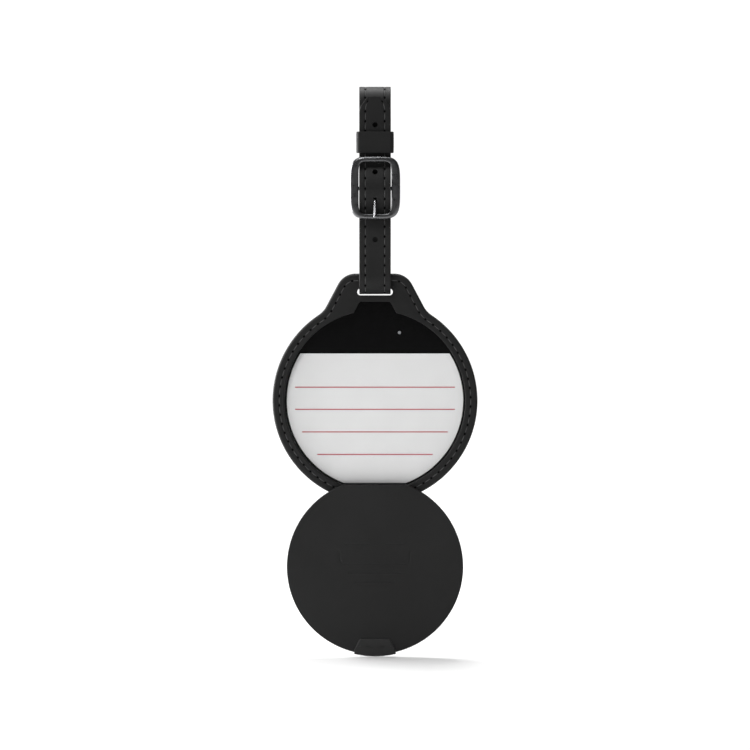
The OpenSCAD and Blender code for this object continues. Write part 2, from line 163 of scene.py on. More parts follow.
def set_uv(mesh, uv, period):
    """Gives each face corner its point's place on the pattern; period mends the closing seam."""
    starts = np.empty(len(mesh.polygons), dtype=np.int32)
    corners = np.empty(len(mesh.loops), dtype=np.int32)
    mesh.polygons.foreach_get("loop_start", starts)
    mesh.loops.foreach_get("vertex_index", corners)
    placed = uv[corners]
    if period:
        sizes = np.diff(np.append(starts, len(corners)))
        widest = np.repeat(np.maximum.reduceat(placed[:, 0], starts), sizes)
        placed[:, 0] += np.where(widest - placed[:, 0] > period / 2, period, 0)
    layer = mesh.uv_layers.new(name="pattern")
    layer.data.foreach_set("uv", placed.astype(np.float32).ravel())


def new_piece(name, shape, uv=None, period=0.0, sharp=35):
    """An object at the origin with its place in its mesh, smooth except at edges past sharp degrees."""
    points, faces = shape
    if volume(points, faces) < 0:
        faces = [group[:, ::-1] for group in faces]
    placed = (points + [0, 0, disc_z]) * MM
    mesh = bpy.data.meshes.new(name)
    mesh.from_pydata(placed.tolist(), [], [face for group in faces for face in group.tolist()])
    if uv is not None:
        set_uv(mesh, uv, period)
    mesh.shade_smooth()
    mesh.set_sharp_from_angle(angle=math.radians(sharp))
    made = bpy.data.objects.new(name, mesh)
    bpy.context.scene.collection.objects.link(made)
    print(name, len(mesh.vertices), "points", len(mesh.polygons), "faces")
    return made


def carve(piece, cutter):
    """Cuts the cutter's space out of the piece, and removes the cutter."""
    knife = piece.modifiers.new("cut", "BOOLEAN")
    knife.operation = "DIFFERENCE"
    knife.solver = "EXACT"
    knife.object = cutter
    seen = piece.evaluated_get(bpy.context.evaluated_depsgraph_get())
    carved = bpy.data.meshes.new_from_object(seen)
    piece.modifiers.clear()
    piece.data = carved
    carved.set_sharp_from_angle(angle=math.radians(35))
    bpy.data.objects.remove(cutter)


def finish_piece(piece, body, slot, material, *nodes):
    """Rides the piece on its body, hides the frame's nodes that it stands for, and gives it its finish.
    The slot is not used.
    """
    piece.data.materials.clear()
    piece.data.materials.append(material)
    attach(piece, body)
    if nodes:
        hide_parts(*nodes)


# %% [markdown]
# Curves in the flat come next: arcs, and evenly spaced points on an outline. A ring is the outline
# read at even angles round its middle.


# %% Helpers for flat curves
def arc(centre, r, start, stop, steps):
    """Points on a circle from one angle to another, in degrees, both ends included."""
    turn = np.radians(np.linspace(start, stop, steps + 1))
    return np.array(centre) + r * np.stack([np.cos(turn), np.sin(turn)], -1)


def travelled(points):
    """Distance along a line of points, from 0 at the first one."""
    return np.concatenate([[0], np.cumsum(np.linalg.norm(np.diff(points, axis=0), axis=1))])


def walk(points, places):
    """The points at the given distances along a line of points."""
    along = travelled(points)
    return np.stack([np.interp(places, along, points[:, k]) for k in range(points.shape[1])], -1)


def unit(vectors):
    return vectors / np.linalg.norm(vectors, axis=-1, keepdims=True)


def heading(points, places):
    """The direction of a line of points at the given distances along it, of length 1."""
    return unit(walk(points, places + 0.1) - walk(points, places - 0.1))


def closed(points):
    return np.concatenate([points, points[:1]])


def radius_at(outline, angles):
    """Distance from the middle to a closed outline, at the given angles in radians."""
    line = closed(outline)
    length = travelled(line)[-1]
    fine = walk(line, np.arange(0, length, 0.05))
    around = np.arctan2(fine[:, 1], fine[:, 0])
    order = np.argsort(around)
    far = np.linalg.norm(fine, axis=1)
    return np.interp(angles, around[order], far[order], period=2 * np.pi)


def ring(angles, radii, depth, middle=0.0):
    """A ring of points that faces the front: radii and depth may be numbers or one per angle."""
    flat = np.broadcast_to(radii, angles.shape)
    deep = np.broadcast_to(depth, angles.shape)
    return np.stack([flat * np.cos(angles), deep, middle + flat * np.sin(angles)], -1)


# %% [markdown]
# The body's outline is a circle that runs through a hollow curve into a neck with round corners.
# Moving in from the edge by an inset keeps every arc's centre, so only the radii change.

# %% The body's outline
NECK_CORNER_R = 7.0
NECK_CORNER_X = 6.8
NECK_LEAN = 28.0
NECK_FILLET_R = 8.5


def body_outline(inset):
    """Right half from the neck's corner arc through the hollow fillet to the disc, then its mirror."""
    lean = math.radians(NECK_LEAN)
    corner = np.array([NECK_CORNER_X, neck_top - NECK_CORNER_R])
    out = np.array([math.cos(lean), math.sin(lean)])
    down = np.array([math.sin(lean), -math.cos(lean)])
    side = out @ corner + NECK_CORNER_R + NECK_FILLET_R
    fillet = side * out - math.sqrt((body_r + NECK_FILLET_R) ** 2 - side**2) * down
    meet = math.degrees(math.atan2(fillet[1], fillet[0]))
    half = np.concatenate([
        arc(corner, NECK_CORNER_R - inset, 90, NECK_LEAN, 16),
        arc(fillet, NECK_FILLET_R + inset, NECK_LEAN + 180, meet + 180, 16),
        arc([0, 0], body_r - inset, meet, -90, 90),
    ])
    return np.concatenate([half, half[-2::-1] * [-1, 1]])


STITCH_INSET = 2.4
stitch_line = closed(body_outline(STITCH_INSET))
stitch_length = travelled(stitch_line)[-1]
stitch_count = round(stitch_length / 3.3)
stitch_pitch = stitch_length / stitch_count
print("rim stitches:", stitch_count, "pitch", round(stitch_pitch, 2), "mm")

# %% [markdown]
# ## Finishes
# Materials are sums. A small class wraps one output of a node, so that an expression such as
# `1 - mask` adds its Math nodes. One method makes any other node: settings first, then sockets.


# %% The socket class and the material class
def adds(operation):
    """A method that adds one Math node, fed by the wire and by whatever stands beside it."""
    return lambda wire, *others: wire.finish.maths(operation, wire, *others)


class Wire:
    """One output of a node. Arithmetic on it adds Math nodes and gives the result's output."""

    def __init__(self, finish, socket):
        self.finish = finish
        self.socket = socket

    def __rsub__(self, other):
        return self.finish.maths("SUBTRACT", other, self)

    __add__ = __radd__ = adds("ADD")
    __sub__ = adds("SUBTRACT")
    __mul__ = __rmul__ = adds("MULTIPLY")
    __truediv__ = adds("DIVIDE")
    __abs__ = adds("ABSOLUTE")
    under = adds("LESS_THAN")
    fraction = adds("FRACT")
    root = adds("SQRT")


class Finish:
    """A material with one Principled shader. Constant sockets are set straight on the shader."""

    def __init__(self, name, **constants):
        self.material = bpy.data.materials.new(name)
        self.material.use_nodes = True
        self.tree = self.material.node_tree
        self.shader = self.tree.nodes["Principled BSDF"]
        for word, value in constants.items():
            socket = word.replace("_", " ").title().replace("Ior", "IOR")
            self.shader.inputs[socket].default_value = value

    def node(self, kind, settings=None, sockets=None, output=0):
        made = self.tree.nodes.new(kind)
        for name, value in (settings or {}).items():
            setattr(made, name, value)
        for name, value in (sockets or {}).items():
            if isinstance(value, Wire):
                self.tree.links.new(value.socket, made.inputs[name])
            else:
                made.inputs[name].default_value = value
        return Wire(self, made.outputs[output])

    def maths(self, operation, *values):
        return self.node("ShaderNodeMath", {"operation": operation}, dict(enumerate(values)))

    def feed(self, socket, wire):
        self.tree.links.new(wire.socket, self.shader.inputs[socket])

    def place(self, kind="Object"):
        """Where on the object a point lies, in millimetres, as one vector."""
        spot = self.node("ShaderNodeTexCoord", output=kind)
        return self.node("ShaderNodeVectorMath", {"operation": "SCALE"}, {0: spot, "Scale": 1 / MM})

    def split(self, vector):
        """The three numbers of a vector."""
        made = self.node("ShaderNodeSeparateXYZ", sockets={0: vector}).socket.node
        return [Wire(self, output) for output in made.outputs]

    def noise(self, where, scale, detail=3.0):
        """Soft cloudy noise from 0 to 1, with features of about 1 / scale millimetres."""
        sockets = {"Vector": where, "Scale": scale, "Detail": detail}
        return self.node("ShaderNodeTexNoise", sockets=sockets)

    def cells(self, where, scale):
        """Distance to the nearest of many scattered points: rounded cells, like pores."""
        return self.node("ShaderNodeTexVoronoi", sockets={"Vector": where, "Scale": scale})

    def ramp(self, value, low, high, start=0.0, stop=1.0):
        """Value carried smoothly from low..high to start..stop, and held at both ends."""
        sockets = {0: value, 1: low, 2: high, 3: start, 4: stop}
        return self.node("ShaderNodeMapRange", {"interpolation_type": "SMOOTHSTEP"}, sockets)

    def blend(self, mask, dark, light):
        """A colour between two: dark where the mask is 0, light where it is 1."""
        sockets = {0: mask, 6: colour(dark), 7: colour(light)}
        return self.node("ShaderNodeMix", {"data_type": "RGBA"}, sockets, output=2)

    def paint_hole_shade(self, mask):
        """Where the mask is 1 the finish gives way to a dead black: painted shade for the dark bottom of a
        hole that the mesh does not have.
        """
        black = self.node("ShaderNodeBsdfDiffuse", sockets={"Color": colour(0.0006)})
        whole = Wire(self, self.shader.outputs[0])
        mixed = self.node("ShaderNodeMixShader", sockets={0: mask, 1: whole, 2: black})
        self.tree.links.new(mixed.socket, self.tree.nodes["Material Output"].inputs["Surface"])

    def relief(self, height, strength, distance=0.1):
        """Height in millimetres turned into a bumped normal."""
        sockets = {"Height": height, "Strength": strength, "Distance": distance * MM}
        self.feed("Normal", self.node("ShaderNodeBump", sockets=sockets))


def colour(value):
    """A grey number or three numbers as the four that a colour socket takes; a wire stays a wire."""
    if isinstance(value, Wire):
        return value
    return (*np.broadcast_to(value, 3), 1.0)


# %% [markdown]
# Leather has three scales. Large soft clouds vary its tone, a net of small pebbles gives the grain,
# and fine pores break up the gloss. The grain is a bump, because it is far smaller than the mesh.
# Where thread is sewn in, the piece carries its own map: the first number runs along the seam and
# the second is the distance from it, so the needle's holes repeat without drifting. Each hole is a
# dent in the bump with painted shade in its middle: a dead black where its bottom would lie in shadow.


# %% Leather
GRAINED = (0.0135, 0.56, 0.16)
SMOOTH_LINING = (0.010, 0.62, 0.08)
# Painted shade in the needle holes: dead black within the first radius, fading out by the second.
HOLE_SHADE_R = 0.28
HOLE_SHADE_FADE_R = 0.44


def leather(name, tone, rough, grain, seam_pitch=0.0):
    """Leather of a tone, roughness and grain strength; with a seam pitch it also has needle holes, dented and
    filled with painted shade.
    """
    made = Finish(name, specular_ior_level=0.2)
    where = made.place()
    clouds = made.noise(where, 0.09, 2.0)
    pebbles = made.cells(where, 2.3)
    pores = made.noise(where, 5.0, 4.0)
    height = made.ramp(pebbles, 0.0, 0.55) * -0.6 + pores * 0.5
    shade = clouds * 0.35 + pores * 0.3
    if seam_pitch:
        along, aside, _ = made.split(made.place("UV"))
        ahead = ((along / seam_pitch).fraction() - 0.5) * seam_pitch
        apart = (ahead * ahead + aside * aside).root()
        # Painted shade: each needle hole's middle is mixed to a dead black, as if its bottom lay in shadow.
        made.paint_hole_shade(made.ramp(apart, HOLE_SHADE_R, HOLE_SHADE_FADE_R, 1.0, 0.0))
        height = height - made.ramp(apart, 0.3, 0.6, 1.0, 0.0) * 3.0
    made.feed("Base Color", made.blend(shade, tone * 0.7, tone * 1.7))
    made.feed("Roughness", made.ramp(pebbles * 0.5 + clouds * 0.5, 0.1, 0.8, rough - 0.06, rough + 0.08))
    made.relief(height, grain)
    return made.material


rim_leather = leather("rim leather", *GRAINED, stitch_pitch)
plain_leather = leather("plain leather", *GRAINED)

# %% [markdown]
# The flap's inner side is a soft matt film, and the pull tab is a slightly paler moulding. Both are
# nearly smooth: a fine dust of bumps spreads the light, and a slow change of tone keeps them alive.


# %% Soft matt finishes
def soft_matt(name, tone, rough, scale, strength):
    """A matt moulded or coated surface with fine even texture."""
    made = Finish(name, specular_ior_level=0.2)
    where = made.place()
    dust = made.noise(where, scale, 5.0)
    clouds = made.noise(where, 0.06, 2.0)
    made.feed("Base Color", made.blend(clouds, tone * 0.85, tone * 1.2))
    made.feed("Roughness", made.ramp(dust, 0.3, 0.7, rough - 0.05, rough + 0.07))
    made.relief(dust, strength)
    return made.material


liner_matt = soft_matt("flap liner", 0.015, 0.6, 7.0, 0.08)
tab_matt = soft_matt("pull tab", 0.026, 0.5, 9.0, 0.10)
shell_matt = soft_matt("moulded shell", 0.012, 0.5, 4.0, 0.12)
board_matt = soft_matt("stiff board", 0.02, 0.75, 3.0, 0.3)
thread_matt = soft_matt("waxed thread", 0.065, 0.4, 12.0, 0.3)

# %% [markdown]
# Metal shows its making in its reflections. The buckle is cast and plated dark, so it gets a soft
# gloss with faint waviness. The steel of the prong and the bar also has worn, paler patches.


# %% Metals
def metal(name, base, rough, worn=0.0):
    """A metal with faint waves, and worn patches that are paler and duller."""
    made = Finish(name, metallic=1.0)
    where = made.place()
    waves = made.noise(where, 0.5, 2.0)
    scuffs = made.noise(where, 3.0, 6.0)
    wear = made.ramp(scuffs, 0.5, 0.75, 0.0, worn)
    paler = [min(1.0, part * 1.6 + 0.02) for part in base]
    made.feed("Base Color", made.blend(wear, base, paler))
    made.feed("Roughness", made.ramp(waves, 0.3, 0.7, rough * 0.85, rough * 1.2))
    made.relief(waves, 0.004)
    return made.material


gunmetal = metal("gunmetal plate", [0.15, 0.151, 0.156], 0.3)
steel = metal("plated steel", [0.24, 0.24, 0.25], 0.24, 0.2)
tin = metal("tinned sheet", [0.62, 0.62, 0.64], 0.35)
nickel = metal("nickel plate", [0.66, 0.65, 0.62], 0.18)
copper = metal("enamelled copper", [0.72, 0.33, 0.16], 0.28)
brass = metal("brass disc", [0.74, 0.55, 0.22], 0.3)
foil = metal("cell foil", [0.70, 0.71, 0.74], 0.42)


# %% Plastics, glass and boards
def plastic(name, base, rough, coat=0.0, specular=0.5):
    """A moulded plastic with a faint orange-peel skin."""
    made = Finish(name, coat_weight=coat, coat_roughness=0.08, specular_ior_level=specular)
    where = made.place()
    peel = made.noise(where, 1.2, 2.0)
    darker, paler = [[part * share for part in base] for share in (0.9, 1.1)]
    made.feed("Base Color", made.blend(peel, darker, paler))
    made.feed("Roughness", made.ramp(peel, 0.3, 0.7, rough * 0.85, rough * 1.2))
    made.relief(peel, 0.01)
    return made.material


plate_gloss = plastic("front plate", [0.002, 0.002, 0.0022], 0.18, specular=0.2)
light_lens = plastic("status lens", [0.26, 0.27, 0.28], 0.3, 0.4)
chip_black = plastic("chip package", [0.02, 0.02, 0.022], 0.45)
ceramic = plastic("ceramic", [0.74, 0.72, 0.68], 0.4)
mask_green = plastic("solder mask", [0.02, 0.11, 0.05], 0.3, 0.4)
tape_amber = plastic("amber tape", [0.55, 0.27, 0.04], 0.25, 0.3)
wire_red = plastic("red wire", [0.42, 0.02, 0.02], 0.4)
wire_black = plastic("black wire", [0.02, 0.02, 0.02], 0.4)
ferrite_grey = plastic("ferrite sheet", [0.06, 0.06, 0.07], 0.5)

# %% [markdown]
# The name card is paper with four ruled lines. The lines are printed, so they are colour and not
# shape. Each one is a mask: near the line's height, and within its half length.

# %% Paper with ruled lines
RULES = [(4.7, 28.1), (-3.1, 28.1), (-11.05, 25.6), (-19.0, 20.3)]


def ruled_card():
    """White card stock; a slow change of tone, fine fibres and the printed rules."""
    made = Finish("name card", specular_ior_level=0.3)
    where = made.place()
    across, _, up = made.split(where)
    fibres = made.noise(where, 3.0, 5.0)
    mask = 0.0
    for height, half in RULES:
        near = made.ramp(abs(up - (height + disc_z)), 0.16, 0.26, 1.0, 0.0)
        mask = near * abs(across).under(half) + mask
    paper = made.blend(fibres, 0.84, 0.87)
    made.feed("Base Color", made.blend(mask, paper, [0.46, 0.045, 0.055]))
    made.feed("Roughness", made.ramp(fibres, 0.3, 0.7, 0.55, 0.7))
    made.relief(fibres, 0.05)
    return made.material


def clear_film():
    """A clear glossy window: it lets nearly all through, and only its surface shines."""
    made = Finish("clear window", ior=1.45)
    where = made.place()
    ripple = made.noise(where, 0.12, 1.0)
    made.shader.inputs["Base Color"].default_value = colour(0.9)
    made.feed("Alpha", made.ramp(ripple, 0.3, 0.7, 0.05, 0.06))
    made.feed("Roughness", made.ramp(ripple, 0.3, 0.7, 0.12, 0.2))
    return made.material


card_paper = ruled_card()
window_clear = clear_film()

# %% [markdown]
# Every node of the frame that stays in view gets its finish here. The leather nodes are given one
# too, and are replaced further down.

# %% Finish the frame's own nodes
NODE_FINISH = {
    "rim_frame": shell_matt, "core_front_shell": plate_gloss, "core_rear_shell": shell_matt,
    "card_window": window_clear, "name_card": card_paper, "circuit_board": mask_green,
    "radio_module": tin, "chip_antenna": ceramic, "charge_controller": chip_black,
    "status_led": light_lens, "light_pipe": light_lens, "pairing_switch": tin,
    "pairing_button": shell_matt, "piezo_buzzer": brass, "latch_magnet": nickel,
    "battery_cell": foil, "battery_protection_board": tape_amber, "battery_lead_red": wire_red,
    "battery_lead_black": wire_black, "ferrite_sheet": ferrite_grey, "charging_coil": copper,
    "coil_leads": copper, "flap_board": board_matt, "flap_magnet": nickel, "buckle_bar": steel,
}
for node_name, node_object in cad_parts.items():
    node_object.data.materials.clear()
    node_object.data.materials.append(NODE_FINISH.get(node_name, plain_leather))
print("finished nodes:", len(NODE_FINISH))

# %% [markdown]
# ## The body's leathers
# The front leather is one closed band: it starts at the window's edge, rounds over it, crosses the
# face, dips where the seam pulls it in, and rolls over the outer edge. Every ring is read at the
# same angles, so the rings join point to point even round the neck.

# %% The rings of the front leather
AROUND = 1080
angles = np.linspace(-np.pi, np.pi, AROUND, endpoint=False)
WINDOW_R = 31.7
FOLD_GAP = 0.3
NOTCH = np.array([[7.45, 30.81], [5.75, 34.05], [5.45, 34.55], [5.0, 34.8]])
GROOVE = 0.13
SWELL = 0.042
LIP_R = 0.4
EDGE_R = 0.85


def window_outline():
    """The window's circle, cut off straight at the fold and opened by the thumb notch at the top."""
    low = math.degrees(math.asin((fold_z - FOLD_GAP) / WINDOW_R))
    high = math.degrees(math.atan2(NOTCH[0, 1], NOTCH[0, 0]))
    half = np.concatenate([arc([0, 0], WINDOW_R, low, high, 80), NOTCH])
    return np.concatenate([half, half[::-1] * [-1, 1]])


def edge_roll(r, steps):
    """Insets and drops of a rounded edge, from the flat face to the side: a quarter circle."""
    turn = np.radians(np.linspace(0, 90, steps + 1))
    return np.stack([r - r * np.sin(turn), r - r * np.cos(turn)], -1)


def rolled(place, r, steps, depth, way=1):
    """Rings up a rounded edge from its side to its face; way is -1 where the face looks back."""
    return [place(inset, depth + way * drop) for inset, drop in edge_roll(r, steps)[::-1]]


window_radii = radius_at(window_outline(), angles)
seam_insets = STITCH_INSET + np.array([0.95, 0.6, 0.4, 0.25, 0.1, 0.0, -0.1, -0.25, -0.4, -0.6])


def groove_depth(inset):
    """How far the seam pulls the leather in: a smooth valley along the stitch line."""
    return GROOVE * np.exp(-(((inset - STITCH_INSET) / 0.32) ** 2))


def outline_ring(inset, depth):
    return ring(angles, radius_at(body_outline(inset), angles), depth)


rings = [ring(angles, window_radii, leather_back)]
rings += rolled(lambda out, depth: ring(angles, window_radii + out, depth), LIP_R, 5, rim_front)
inner_edge = window_radii + LIP_R + 0.05
outer_edge = radius_at(body_outline(seam_insets[0] + 0.1), angles)
for part in np.linspace(0, 1, 9):
    depth = rim_front - SWELL * math.sin(math.pi * part)
    rings.append(ring(angles, inner_edge + (outer_edge - inner_edge) * part, depth))
for inset in seam_insets:
    rings.append(outline_ring(inset, rim_front + groove_depth(inset)))
rings += rolled(outline_ring, EDGE_R, 8, rim_front)[::-1]
rings.append(outline_ring(0, leather_back))
front_rings = np.array(rings)
print("front leather rings:", front_rings.shape)


# %% The seam's own map
def seam_map(points):
    """For each point: how far along the stitch line its nearest place is, and how far off it lies."""
    fine_places = np.linspace(0, stitch_length, 6000, endpoint=False)
    fine = walk(stitch_line, fine_places)
    turn_fine = np.arctan2(fine[:, 1], fine[:, 0]) % (2 * np.pi)
    turn = np.arctan2(points[:, 2], points[:, 0]) % (2 * np.pi)
    order = np.argsort(turn_fine)
    along = np.interp(turn, turn_fine[order], fine_places[order])
    guess = walk(stitch_line, along)
    ahead = walk(stitch_line, (along + 0.05) % stitch_length)
    run = unit(ahead - guess)
    offset = points[:, [0, 2]] - guess
    along = along + np.einsum("ij,ij->i", offset, run)
    aside = offset[:, 0] * run[:, 1] - offset[:, 1] * run[:, 0]
    return np.stack([along, aside], -1) * MM


SLOT_W = 12.5
SLOT_H = 2.35
SLOT_Z = 38.15


def slot_cutter(front, back, lip_front, lip_back):
    """A round-ended slot through the leather, slightly flared towards its open face."""
    outward = arc([0, 0], 1, -90, 90, 16)
    half = outward * SLOT_H / 2 + [(SLOT_W - SLOT_H) / 2, 0]
    around = np.concatenate([half, -half])
    outward = np.concatenate([outward, -outward])
    rows = []
    for depth, flare in [(front, lip_front), (back, lip_back)]:
        flat = around + outward * flare
        rows.append(np.insert(flat + [0, SLOT_Z], 1, depth, axis=1))
    return new_piece("slot cutter", barrel(rows))


# %% [markdown]
# The strap's lower fold turns inside the slot, so both leathers also lose a curved band there. It
# follows the fold's own circle, and leaves a tenth of a millimetre for the thread on the inside.

# %% The space for the strap's lower fold
PLY = 0.85
FOLD_R = 4.5
FOLD_PLAY = 0.1
HALF_W = 5.5
low_fold = box_mm("strap_face")[0, 2] + FOLD_R + 2 * PLY


def fold_cutter():
    """A band round the fold's axis: every radius from inside the lining to outside the face ply."""
    turn = np.radians(np.linspace(-40, 40, 33))[:, None]
    x = np.array([-1, 1, 1, -1]) * (HALF_W + FOLD_PLAY)
    r = np.array([0, 0, 1, 1]) * (2 * PLY + 2 * FOLD_PLAY) + FOLD_R - FOLD_PLAY
    return new_piece("fold cutter", barrel(np.stack([
        np.broadcast_to(x, (len(turn), 4)), r * np.sin(turn), low_fold - r * np.cos(turn)], -1)))


# %% Build the front leather
shape = hoop(front_rings)
front = new_piece("body_front_leather", shape, seam_map(shape[0]), stitch_length * MM)
carve(front, slot_cutter(rim_front - 0.6, leather_back + 0.3, 0.15, 0.0))
carve(front, fold_cutter())
finish_piece(front, "tag", "leather_black", rim_leather, "front_leather")

# %% [markdown]
# The back leather is a pan. It is flat over the charging coil, turns down round the tracker, flows
# into the rim and is sewn to it by the same seam. Inside, a second skin follows it at the leather's
# thickness, so the piece is closed.

# %% Build the back leather
RIM_BACK_T = 0.9
rim_back = frame_back + RIM_BACK_T
PAN_R = 32.85
PAN_SOFT = 0.75
PAN_ROOT = 0.45
BACK_EDGE_R = 0.6
CAN_R = 32.0

rings = [ring(angles, r, pan_back) for r in (2, 12, 22, 29, 31.4)]
rings += rolled(lambda inset, depth: ring(angles, PAN_R - inset, depth), PAN_SOFT, 7, pan_back, -1)[::-1]
for inset, drop in edge_roll(PAN_ROOT, 5)[::-1]:
    rings.append(ring(angles, PAN_R + PAN_ROOT - inset, rim_back + drop))
start = np.full(AROUND, PAN_R + PAN_ROOT + 0.02)
stop = np.maximum(radius_at(body_outline(STITCH_INSET + 0.22), angles), start + 0.02)
for part in np.linspace(0, 1, 7):
    rings.append(ring(angles, start + (stop - start) * part, rim_back))
for inset in STITCH_INSET + np.array([0.1, 0.0, -0.1, -0.25, -0.4, -0.6]):
    rings.append(outline_ring(inset, rim_back - groove_depth(inset)))
rings += rolled(outline_ring, BACK_EDGE_R, 6, rim_back, -1)[::-1]
rings.append(outline_ring(0, frame_back))
rings.append(ring(angles, CAN_R, frame_back))
rings.append(ring(angles, CAN_R, core_back))
rings.append(ring(angles, 2, core_back))
shape = barrel(rings)
back = new_piece("body_back_leather", shape, seam_map(shape[0]), stitch_length * MM)
carve(back, slot_cutter(frame_back - 0.3, rim_back + 0.6, 0.0, 0.4))
carve(back, fold_cutter())
finish_piece(back, "tag", "leather_black", rim_leather, "back_leather")

# %% [markdown]
# Each stitch is a bead of waxed thread between two needle holes. One function makes them all: the
# middle line of each bead rises and sinks as half a wave, and the bead narrows at both ends.

# %% The stitch maker
THREAD_R = 0.17
BEAD_ROWS = 9
BEAD_LIFT = 0.13
BEAD_SINK = 0.1


def bead_row(lines, normals):
    """Beads on lines over a surface: each tube follows its line on a half wave along the normals."""
    wave = np.sin(np.pi * np.linspace(0, 1, BEAD_ROWS))[None, :, None]
    side = np.cross(unit(np.gradient(lines, axis=1)), normals)
    middle = lines + normals * (BEAD_LIFT * wave - BEAD_SINK)
    turn = np.linspace(0, 2 * np.pi, 8, endpoint=False)[None, None, :, None]
    girth = THREAD_R * (0.45 + 0.55 * wave[..., None])
    spokes = np.cos(turn) * side[:, :, None] + 0.8 * np.sin(turn) * normals[:, :, None]
    return join(*[barrel(bead) for bead in middle[:, :, None] + girth * spokes])


def bead_places(holes, pitch, gap):
    """Distances along a seam for each bead: even steps from just past one hole to just before the next."""
    return (holes * pitch + gap)[:, None] + (pitch - 2 * gap) * np.linspace(0, 1, BEAD_ROWS)[None]


def rim_beads(depth, facing):
    """The rim's seam on one face: beads between neighbouring needle holes."""
    places = bead_places(np.arange(stitch_count) + 0.5, stitch_pitch, 0.32)
    lines = np.insert(walk(stitch_line, places % stitch_length), 1, depth, axis=-1)
    return bead_row(lines, np.broadcast_to([0.0, facing, 0.0], lines.shape))


front_depth = rim_front + GROOVE
rear_depth = rim_back - GROOVE
rim_thread = new_piece("rim_stitching", join(rim_beads(front_depth, -1.0), rim_beads(rear_depth, 1.0)))
finish_piece(rim_thread, "tag", "leather_black", thread_matt)

# %% [markdown]
# ## The flap
# Skin, board and liner are stacked discs, cut straight along the fold. The skin and the liner roll
# over their edges. The liner also carries a blind-pressed plate mark: a plain frame with two bars,
# pushed a tenth of a millimetre into the surface, which needs fine rings near the middle.

# %% The flap's outline and its rings
flap_angles = np.linspace(-np.pi, np.pi, 540, endpoint=False)


def flap_outline(inset):
    """The flap's circle, cut straight just short of the fold; the two corners are softened."""
    r = flap_r - inset
    top = skin_box[1, 2] - flap_z - inset
    corner = 1.2 - inset * 0.5
    inner = math.sqrt((r - corner) ** 2 - (top - corner) ** 2)
    meet = math.degrees(math.atan2(top - corner, inner))
    bend = arc([inner, top - corner], corner, meet, 90, 8)
    half = np.concatenate([arc([0, 0], r, -90, meet, 90), bend])
    return np.concatenate([half, half[-1:0:-1] * [-1, 1]])


def flap_ring(inset, depth):
    return ring(flap_angles, radius_at(flap_outline(inset), flap_angles), depth, flap_z)


def rounded_frame(across, up, half_w, half_h, corner):
    """Signed distance to a rectangle with round corners: negative inside."""
    over_x = np.abs(across) - (half_w - corner)
    over_y = np.abs(up) - (half_h - corner)
    outside = np.hypot(np.maximum(over_x, 0), np.maximum(over_y, 0))
    return outside + np.minimum(np.maximum(over_x, over_y), 0) - corner


PLATE_BARS = ((-2.0, 9.5), (-5.2, 7.0))
PLATE_DEPTH = 0.11


def pressed(points):
    """Depth of the plate mark: the frame's line and two plain bars, each with soft walls."""
    across = points[..., 0]
    up = points[..., 2] - flap_z
    line = np.abs(rounded_frame(across, up - 4.6, 12.2, 3.5, 1.4)) - 0.22
    bars = [rounded_frame(across, up - z, half, 0.42, 0.4) for z, half in PLATE_BARS]
    nearest = np.minimum.reduce([line] + bars)
    return PLATE_DEPTH * (1 - np.clip((nearest + 0.12) / 0.24, 0, 1))


# %% Build the flap's liner and skin
liner_face, liner_back = liner_box[:, 1]
board_face, skin_back = skin_box[:, 1]
fine_part = np.linspace(0.3, 13.4, 118) / flap_r
rings = [flap_ring(0.4, liner_back), flap_ring(0, liner_back)]
rings += rolled(flap_ring, 0.3, 5, liner_face)
edge = radius_at(flap_outline(0.35), flap_angles)
for part in np.concatenate([np.linspace(1.0, 0.47, 14), fine_part[::-1]]):
    rings.append(ring(flap_angles, edge * part, liner_face, flap_z))
liner_rings = np.array(rings)
liner_rings[7:, :, 1] += pressed(liner_rings[7:])
liner = new_piece("flap_inner_liner", barrel(liner_rings))
finish_piece(liner, "flap", "liner_soft", liner_matt, "flap_liner")

rings = [flap_ring(0.4, board_face), flap_ring(0, board_face)]
rings += rolled(flap_ring, 0.4, 6, skin_back, -1)
edge = radius_at(flap_outline(0.45), flap_angles)
for part in (1.0, 0.8, 0.6, 0.4, 0.2, 0.05):
    rings.append(ring(flap_angles, edge * part, skin_back, flap_z))
skin = new_piece("flap_outer_leather", barrel(rings))
finish_piece(skin, "flap", "leather_black", plain_leather, "flap_skin")

# %% [markdown]
# The pull tab is a small raised moulding that wraps the flap's edge. It is an outline swollen into
# a cushion: each ring is the outline drawn in a little and lifted a little.

# %% Build the pull tab
TAB_R = flap_r + 0.6
TAB_TOP_HALF = 5.7
TAB_LIP_TURN = 13.2
tab_high = tab_box[1, 2] - flap_z


def tab_outline(inset):
    """A trapezium that narrows upwards, with a round foot along the flap's edge and soft corners."""
    half_low = tab_box[1, 0] - inset
    half_high = TAB_TOP_HALF - inset
    foot = math.degrees(math.asin(half_low / (TAB_R - inset)))
    shoulder = -math.sqrt((TAB_R - inset) ** 2 - half_low**2) + 1.4
    top = tab_high - inset
    sides = np.array([[half_low, shoulder], [half_high, top - 0.5], [half_high - 0.5, top]])
    lower = arc([0, 0], TAB_R - inset, -90 - foot, -90 + foot, 24)
    return np.concatenate([lower, sides, sides[::-1] * [-1, 1]])


def tab_ring(inset, depth):
    """The outline read as the same even steps along its length, so rings join point to point."""
    line = closed(tab_outline(inset))
    flat = walk(line, np.linspace(0, travelled(line)[-1], 240, endpoint=False))
    return np.insert(flat + [0, flap_z], 1, depth, axis=1)


